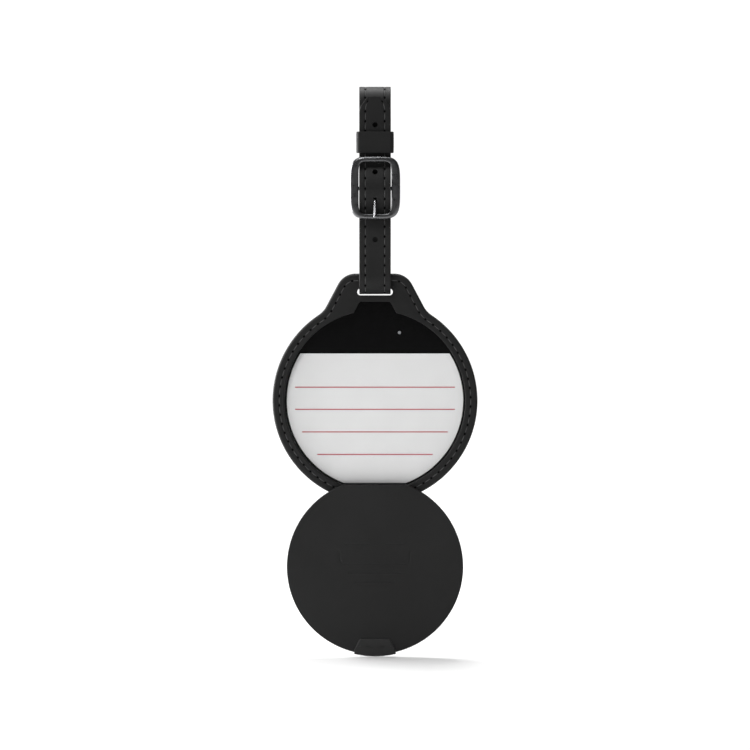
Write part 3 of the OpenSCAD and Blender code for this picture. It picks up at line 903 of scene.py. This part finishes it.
tab_face = tab_box[0, 1]
rings = [tab_ring(0.0, liner_face + 0.02)]
rings += rolled(tab_ring, 0.42, 6, tab_face)
rings.append(tab_ring(1.2, tab_face + 0.03))
rings.append(tab_ring(2.2, tab_face + 0.05))
front_part = barrel(rings)
lip_angles = np.radians(-90 + np.linspace(-TAB_LIP_TURN, TAB_LIP_TURN, 40))
lip_rows = []
for radius, depth in [(flap_r - 0.02, liner_face), (TAB_R, liner_face), (TAB_R, skin_back - 0.3),
                      (TAB_R - 0.2, skin_back - 0.1), (flap_r - 0.02, skin_back - 0.1)]:
    lip_rows.append(ring(lip_angles, radius, depth, flap_z))
lip_part = barrel(np.array(lip_rows).transpose(1, 0, 2))
tab = new_piece("flap_pull_tab", join(front_part, lip_part))
finish_piece(tab, "flap", "tab_soft", tab_matt, "flap_tab")

# %% [markdown]
# The fold itself is a thin strip bent well over half way round the fold line while it is open.

# %% Build the living hinge
CREASE_IN = 0.08
CREASE_OUT = 0.34
CREASE_HALF = 10.7
CREASE_REACH = 0.3
turn = np.radians(np.linspace(-35, 215, 26))
section = np.concatenate([
    np.stack([CREASE_OUT * np.cos(turn), CREASE_OUT * np.sin(turn)], -1),
    np.stack([CREASE_IN * np.cos(turn[::-1]), CREASE_IN * np.sin(turn[::-1])], -1),
])
section = section + [fold_y, fold_z]
rows = [np.insert(section, 0, x, axis=1) for x in np.linspace(-CREASE_HALF, CREASE_HALF, 44)]
crease = new_piece("fold_crease", barrel(rows))
crease.data.materials.append(plain_leather)
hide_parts("hinge_crease")
fold_point = np.array([0.0, fold_y, fold_z + disc_z]) * MM
reach = np.array([0.0, CREASE_REACH * MM, 0.0])
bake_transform(crease)
print("crease length", 2 * CREASE_HALF, "mm")

# %% [markdown]
# ## The strap
# The strap is two plies that follow one path in depth and height: from the tongue's tip down, under
# the lower fold, up the back, over the top and down to the buckle, whose bar the face leather wraps.
# Near the bar everything bows forward by half a cosine wave, because the bar stands proud.

# %% The strap's path
RUN_Y = FOLD_R + PLY
LAP = 2 * PLY + 0.2
top_fold = box_mm("strap_face")[1, 2] - FOLD_R - 2 * PLY
bar_r = 0.75
HUMP_REACH = 10.0
hump = -bar_y + bar_r + 0.05 - RUN_Y
TIP_Z = 106.2


def smooth(t):
    t = np.clip(t, 0, 1)
    return t * t * (3 - 2 * t)


def bow(z):
    """How far the bar pushes the strap forward at a height: half a cosine wave each way."""
    return hump * (1 + np.cos(np.pi * np.minimum(1, np.abs(z - bar_z) / HUMP_REACH))) / 2


def tongue_y(z):
    """The tongue lies on the anchored end above the bar and slopes back to the loop below it."""
    slope = np.gradient(bow(z), z) if np.ndim(z) else 0.0
    above = LAP * np.sqrt(1 + slope**2)
    below = LAP * smooth((z - 47) / 16)
    return -RUN_Y - bow(z) - np.where(z > bar_z, above, below)


def upright(heights, depth):
    return np.stack([depth, heights], -1)


down = np.linspace(TIP_Z, 46, 260)
tongue = upright(down, tongue_y(down))
loop = np.concatenate([arc([0, low_fold], RUN_Y, 180, 360, 60), arc([0, top_fold], RUN_Y, 0, 180, 60)])
rest = np.linspace(94, 87, 6)
lined_path = np.concatenate([tongue, loop, upright(rest, np.full(6, -RUN_Y))])
drop = np.linspace(86, bar_z + 0.6, 50)
rise = drop[::-1]
back_y = -RUN_Y - bow(rise) + 1.6 + smooth((rise - bar_z) / 11) * -1.55
wrap = np.concatenate([
    upright(drop, -RUN_Y - bow(drop)), arc([bar_y, bar_z], 0.8, 180, 360, 24), upright(rise, back_y),
])
face_path = np.concatenate([lined_path, wrap])
print("strap length", round(travelled(face_path)[-1], 1), "mm")

# %% [markdown]
# A ply is a section carried along the path. The section is 11 mm wide with soft outer corners, and
# it dips along both seams. At the tip the section narrows and its middle runs ahead of its sides,
# which rounds the end.

# %% The ribbon maker
SEAM_X = 3.37
SEAM_DIP = 0.12
TIP_LENGTH = 5.2
TIP_HALF_W = 3.0
STRAP_PITCH = 3.42


def tip_width(ahead):
    """Half width at a distance from the tip: narrow at the end, swelling to full in an S curve."""
    swell = np.sin(np.pi / 2 * np.clip(ahead / TIP_LENGTH, 0, 1)) ** 0.9
    return TIP_HALF_W + (HALF_W - TIP_HALF_W) * swell


def seam_x(ahead):
    """The seam draws in with the tip, in step with the strap's width."""
    return SEAM_X * tip_width(ahead) / HALF_W


def ply_section(outer, corner=0.28):
    """A ply's section: over the face from side to side, then back along the glue line."""
    turn = np.linspace(0, np.pi / 2, 6)
    edge = corner * np.stack([np.cos(turn), np.sin(turn)], -1) + [HALF_W - corner, outer - corner]
    face = np.array([4.7, 4.3, 3.95, 3.72, 3.55, 3.37, 3.2, 3.03, 2.8, 2.4, 1.8, 1.0, 0.0])
    dip = SEAM_DIP * np.exp(-(((face - SEAM_X) / 0.26) ** 2))
    half = np.concatenate([edge, np.stack([face, outer - dip], -1)])
    top = np.concatenate([half, half[-2::-1] * [-1, 1]])
    return np.concatenate([top, top[::-1] * [1, 0]])


def strip(rings):
    """Points and faces of rings whose second half runs back under the first; quads close both ends."""
    rows, cols = rings.shape[:2]
    i = np.arange(cols // 2 - 1)
    first = np.stack([i + 1, i, cols - 1 - i, cols - 2 - i], -1)
    return rings.reshape(-1, 3), [grid_faces(rows, cols), first, first[:, ::-1] + (rows - 1) * cols]


def ribbon(path, outer, spacing=0.45):
    """A ply along a path: positive outer builds on its outside, negative on its inside."""
    places = np.arange(0, travelled(path)[-1], spacing)
    section = ply_section(abs(outer))
    squeeze = tip_width(places)[:, None] / HALF_W
    across = section[None, :, 0] * squeeze
    back = np.clip(1 - places / 7.0, 0, 1)[:, None] ** 2
    s = places[:, None] + across**2 / 16.0 * back
    run = heading(path, s)
    lift = np.sign(outer) * section[None, :, 1:]
    flat = walk(path, s) + lift * np.stack([run[..., 1], -run[..., 0]], -1)
    points = np.insert(flat, 0, across, axis=-1)
    side = np.abs(section[:, 0]) - SEAM_X
    uv = np.stack([s, np.broadcast_to(side, s.shape)], -1).reshape(-1, 2) * MM
    return strip(points), uv


# %% [markdown]
# The prong rests at the lean where it just clears the front edge of the buckle's lower rail. Its
# slot through the tongue is a wedge seen from the side, because the prong also lifts.

# %% The prong's lean, and the holes in the tongue
PUNCHED = [96.5, 80.1, 56.6]
PUNCH_R = 0.92
PRONG_R = 0.6
PRONG_L = 11.2
RAIL_H = 1.75
buckle_box = box_mm("buckle_frame")
buckle_front = buckle_box[0, 1]
rail_drop = bar_z - (buckle_box[0, 2] + RAIL_H)
rail_depth = bar_y - buckle_front
clearing = math.asin((PRONG_R + 0.06) / math.hypot(rail_drop, rail_depth))
prong_rest = math.degrees(math.atan2(rail_depth, rail_drop) + clearing)


def beside_prong(ahead, aside, lean):
    """Depth and height of a point along the prong and beside it, at a lean in degrees."""
    c, s = math.cos(math.radians(lean)), math.sin(math.radians(lean))
    return [bar_y - ahead * s - aside * c, bar_z - ahead * c + aside * s]


def prong_slot():
    """The space a round prong passes through between its rest and its lift, with a little play."""
    low, high, side = prong_rest - 1.5, prong_rest + 10, PRONG_R + 0.1
    rows = []
    for x in np.linspace(-side, side, 13):
        bulge = math.sqrt(max(0.0, side**2 - x**2))
        spots = [beside_prong(1.9, -bulge, low), beside_prong(12, -bulge, low),
                 beside_prong(12, bulge, high), beside_prong(1.9, bulge, high)]
        rows.append(np.insert(np.array(spots), 0, x, axis=1))
    return new_piece("prong slot", barrel(rows))


def punch(z, r, front, back):
    """A round punch that goes straight through in depth."""
    around = arc([0, z], r, 0, 360, 28)[:-1]
    rows = [np.insert(around, 1, depth, axis=1) for depth in (front, back)]
    return new_piece("punch", barrel(rows))


def punch_tongue(piece):
    """The three free holes, and the slot that the prong passes."""
    for z in PUNCHED:
        glue_line = float(tongue_y(np.array([z - 0.5, z]))[1])
        carve(piece, punch(z, PUNCH_R, -14, glue_line + PLY + 0.1))
    carve(piece, prong_slot())


# %% Build both plies
strap_leather = leather("strap leather", *GRAINED, STRAP_PITCH)
strap_suede = leather("strap lining", *SMOOTH_LINING, STRAP_PITCH)
shape, uv = ribbon(face_path, PLY)
face = new_piece("strap_face_leather", shape, uv)
punch_tongue(face)
eye_corners = np.array([(-9.35, 72.5), (-5.75, 72.5), (-5.75, 76.25), (-9.35, 76.25)])
eye_rows = [np.insert(eye_corners, 0, x, axis=1) for x in (-1.0, 1.0)]
carve(face, new_piece("eye slot", barrel(eye_rows)))
finish_piece(face, "strap", "leather_black", strap_leather, "strap_face")

shape, uv = ribbon(lined_path, -PLY)
lining = new_piece("strap_lining_leather", shape, uv)
punch_tongue(lining)
finish_piece(lining, "strap", "leather_lining", strap_suede, "strap_lining")


# %% The strap's seams
def strap_beads(path, outer, first, last):
    """Beads on one face along both seams, from one place on the path to another."""
    first_hole = math.ceil(first / STRAP_PITCH - 0.5)
    holes = np.arange(first_hole, int(last / STRAP_PITCH - 0.5)) + 0.5
    places = bead_places(holes, STRAP_PITCH, 0.3)
    run = heading(path, places)
    normals = np.stack([np.zeros(places.shape), run[..., 1], -run[..., 0]], -1) * np.sign(outer)
    spots = walk(path, places)
    level = np.insert(spots, 0, 0.0, axis=-1) + normals * (abs(outer) - SEAM_DIP)
    across = np.insert(np.zeros(spots.shape), 0, seam_x(places), axis=-1)
    return join(*[bead_row(level + side * across, normals) for side in (-1, 1)])


lined_length = travelled(lined_path)[-1]
strap_thread = new_piece("strap_stitching", join(
    strap_beads(face_path, PLY, 1.0, lined_length + 8), strap_beads(lined_path, -PLY, 1.0, lined_length - 3)))
finish_piece(strap_thread, "strap", "leather_black", thread_matt)

# %% [markdown]
# ## Keeper and buckle
# The keeper is a narrow strip of the same leather, closed into a loop. Its section is a soft-edged
# rectangle that is carried round a rectangle with round corners.

# %% Build the keeper
keeper_box = box_mm("strap_keeper")
KEEPER_WALL = 0.9


def soft_loop(half_w, half_d, corner, count):
    """Evenly spaced points round a rectangle with round corners, and the outward direction at each."""
    quarters = [(1, 1, 0), (-1, 1, 90), (-1, -1, 180), (1, -1, 270)]
    middle = np.array([half_w - corner, half_d - corner])
    line = closed(np.concatenate([arc(middle * [x, y], corner, a, a + 90, 10) for x, y, a in quarters]))
    spots = walk(line, np.linspace(0, travelled(line)[-1], count, endpoint=False))
    run = unit(np.roll(spots, -1, axis=0) - np.roll(spots, 1, axis=0))
    return spots, np.stack([run[:, 1], -run[:, 0]], -1)


def soft_bar(half_w, half_h, outer_power, inner_power, count):
    """A superellipse, squarer as the power grows; its outer and inner halves may differ."""
    turn = np.linspace(0, 2 * np.pi, count, endpoint=False)
    c, s = np.cos(turn), np.sin(turn)
    power = 2 / np.where(c > 0, outer_power, inner_power)
    return np.stack([np.sign(c) * np.abs(c) ** power, np.sign(s) * np.abs(s) ** power], -1) * [half_w, half_h]


size = keeper_box[1] - keeper_box[0]
centre = keeper_box.mean(axis=0)
spots, out = soft_loop(size[0] / 2 - KEEPER_WALL / 2, size[1] / 2 - KEEPER_WALL / 2, 0.95, 200)
section = soft_bar(KEEPER_WALL / 2, size[2] / 2, 7.0, 7.0, 48)
flat = spots[:, None] + out[:, None] * section[None, :, :1]
points = np.stack([centre[0] + flat[..., 0], centre[1] + flat[..., 1],
                   np.broadcast_to(centre[2] + section[:, 1], flat.shape[:2])], -1)
keeper = new_piece("keeper_leather", hoop(points))
finish_piece(keeper, "keeper", "leather_black", plain_leather, "strap_keeper")

# %% [markdown]
# The buckle is a cast frame with bowed sides. Its outer and inner edges are two superellipses, and
# the section between them is a rounded bar as wide as the gap. Two lugs behind it hold the bar.

# %% Build the buckle frame
BUCKLE_W, _, BUCKLE_H = (buckle_box[1] - buckle_box[0]) / 2
BUCKLE_T = 2.0
OPENING_HALF_W = 5.72
LUG_R = 1.35
LUG_INSET = 1.8
buckle_mid = buckle_box.mean(axis=0)[2]


def bowed(a, b, power, turn):
    """A box with bowed sides: the superellipse with half sizes a and b, at the given directions."""
    c, s = np.cos(turn), np.sin(turn)
    reach = (np.abs(c / a) ** power + np.abs(s / b) ** power) ** (-1 / power)
    return np.stack([reach * c, reach * s], -1)


turn = np.linspace(0, 2 * np.pi, 360, endpoint=False)
outer = bowed(BUCKLE_W, BUCKLE_H, 4.4, turn)
inner = bowed(OPENING_HALF_W, BUCKLE_H - RAIL_H, 7.0, turn)
middle = (outer + inner) / 2
reach = (outer - inner) / 2
section = soft_bar(1.0, BUCKLE_T / 2, 2.3, 5.0, 48)
flat = middle[:, None] + reach[:, None] * section[None, :, :1]
depths = np.broadcast_to(buckle_front + BUCKLE_T / 2 + section[:, 1], flat.shape[:2])
points = np.stack([flat[..., 0], depths, buckle_mid + flat[..., 1]], -1)
lugs = []
for side in (-1, 1):
    spots = arc([0, 0], LUG_R, 180, 360, 20)
    profile = np.concatenate([spots[:, ::-1] * [-1, 1], [[-1.6, LUG_R], [-1.6, -LUG_R]]])
    rows = []
    for shift, shrink in ((-0.8, 0.85), (-0.62, 1.0), (0.62, 1.0), (0.8, 0.85)):
        x = side * (BUCKLE_W - LUG_INSET) + shift
        rows.append(np.insert(profile * shrink + [bar_y, bar_z], 0, x, axis=1))
    lugs.append(barrel(rows))
buckle = new_piece("buckle_cast_frame", join(hoop(points), *lugs), sharp=50)
finish_piece(buckle, "buckle", "gunmetal", gunmetal, "buckle_frame")

# %% [markdown]
# The prong is a bent wire: an eye that turns on the bar and a shank that rests on the lower rail.
# A tube is swept along that line, and rounded at the tip.

# %% Build the prong
EYE_WIRE_R = PRONG_R * 0.62
EYE_GAP = 22
EYE_OPEN = -90 - prong_rest
eye = arc([0, 0], bar_r + 0.04 + EYE_WIRE_R, EYE_OPEN + EYE_GAP, EYE_OPEN + 360 - EYE_GAP, 40)
aim = np.array([-math.sin(math.radians(prong_rest)), -math.cos(math.radians(prong_rest))])
shank_part = 1 - np.linspace(1, 0, 60) ** 2
shank_start = bar_r + 0.9
shank_l = PRONG_L - shank_start
shank = (shank_start + shank_l * shank_part)[:, None] * aim


def sweep(line, radii, cols):
    """A tube along a line in depth and height; its sides keep to the strap's width direction."""
    run = unit(np.gradient(line, axis=0))
    turn = np.linspace(0, 2 * np.pi, cols, endpoint=False)
    x = radii[:, None] * np.cos(turn)
    lift = radii[:, None] * np.sin(turn)
    spots = np.stack([x, line[:, :1] + lift * run[:, 1:], line[:, 1:] - lift * run[:, :1]], -1)
    return barrel(spots)


to_end = np.clip((1 - shank_part) * shank_l / PRONG_R, 0.002, 1)
shank_r = PRONG_R * np.sqrt(1 - (1 - to_end) ** 2)
loop_part = sweep(eye + [bar_y, bar_z], np.full(len(eye), EYE_WIRE_R), 16)
rod_part = sweep(shank + [bar_y, bar_z], shank_r, 20)
prong = new_piece("prong_wire", join(loop_part, rod_part), sharp=60)
finish_piece(prong, "prong", "bar_steel", steel, "buckle_prong")

# %% [markdown]
# ## The studio
# The tag hangs just above a white floor that curves up into a white wall. A soft box above and a
# little behind the tag whitens the floor and leaves a faint shadow under it. One on the left draws
# the bright line along each left-hand edge, and a high one in front shows the grain.

# %% Camera
LENS = 150.0
SENSOR = 36.0
VIEW_W = 263.0
aim_point = np.array([0.0, rim_front, 9.1 + disc_z]) * MM
distance = VIEW_W * MM * LENS / SENSOR
tilt = math.radians(3.0)
camera_data = bpy.data.cameras.new("camera")
camera_data.lens = LENS
camera_data.sensor_width = SENSOR
camera = bpy.data.objects.new("camera", camera_data)
camera.location = aim_point + distance * np.array([0, -math.cos(tilt), math.sin(tilt)])
camera.rotation_euler = (math.pi / 2 - tilt, 0, 0)
bpy.context.scene.collection.objects.link(camera)
bpy.context.scene.camera = camera
print("camera distance", round(distance, 3), "m")

# %% Floor and wall
floor_z = cad_bounds[0][2] - 0.0003
WALL_Y = 1.6
WALL_H = 2.4
STAGE_HALF = 2.2
SWEEP_R = 0.35
bend = arc([WALL_Y - SWEEP_R, floor_z + SWEEP_R], SWEEP_R, -90, 0, 24)
profile = np.concatenate([[[-STAGE_HALF, floor_z]], bend, [[WALL_Y, floor_z + WALL_H]]])
columns = np.linspace(-STAGE_HALF, STAGE_HALF, 3)
points = np.stack([np.insert(profile, 0, x, axis=1) for x in columns], axis=1)
stage_mesh = bpy.data.meshes.new("studio_sweep")
stage_faces = grid_faces(len(profile), 3, close_cols=False)
stage_mesh.from_pydata(points.reshape(-1, 3).tolist(), [], stage_faces[:, ::-1].tolist())
stage_mesh.shade_smooth()
sweep_stage = bpy.data.objects.new("studio_sweep", stage_mesh)
bpy.context.scene.collection.objects.link(sweep_stage)
white = Finish("studio white", roughness=0.9, emission_strength=1.0, specular_ior_level=0.1)
white.shader.inputs["Base Color"].default_value = colour(0.55)
depth_back = white.split(white.place())[1]
far = white.ramp(depth_back, 50.0, 900.0)
white.feed("Emission Color", white.blend(far, 0.12, 0.7))
stage_mesh.materials.append(white.material)
sweep_stage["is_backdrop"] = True


# %% Lights
def soft_box(name, place, target, width, height, power):
    """A rectangular area light that looks at a target."""
    data = bpy.data.lights.new(name, "AREA")
    data.shape = "RECTANGLE"
    data.size = width
    data.size_y = height
    data.energy = power
    made = bpy.data.objects.new(name, data)
    made.location = place
    made.rotation_euler = (Vector(target) - Vector(place)).to_track_quat("-Z", "Y").to_euler()
    bpy.context.scene.collection.objects.link(made)


middle = (0, 0, -0.1)
soft_box("rear overhead box", (0, 0.24, 0.8), (0, 0.05, floor_z), 0.3, 0.4, 10.0)
soft_box("left box", (-0.38, 0.1, -0.05), (0, 0.02, -0.1), 0.4, 0.42, 6.5)
soft_box("high front box", (-0.3, -0.7, 1.0), middle, 0.4, 0.4, 9.0)
world = bpy.data.worlds.new("studio world")
world.use_nodes = True
sky = world.node_tree.nodes["Background"].inputs
sky["Color"].default_value = colour(1.0)
sky["Strength"].default_value = 0.08
bpy.context.scene.world = world
bpy.context.scene.view_settings.view_transform = "Standard"
bpy.context.scene.view_settings.look = "None"

# %% [markdown]
# Last, the box of the finished look and the box of the frame are printed one after the other.

# %% Print both boxes and finish
look_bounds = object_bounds()
sizes = {"cad": [list(map(float, corner)) for corner in cad_bounds],
         "look": [list(map(float, corner)) for corner in look_bounds]}
print("cad box", sizes["cad"])
print("look box", sizes["look"])
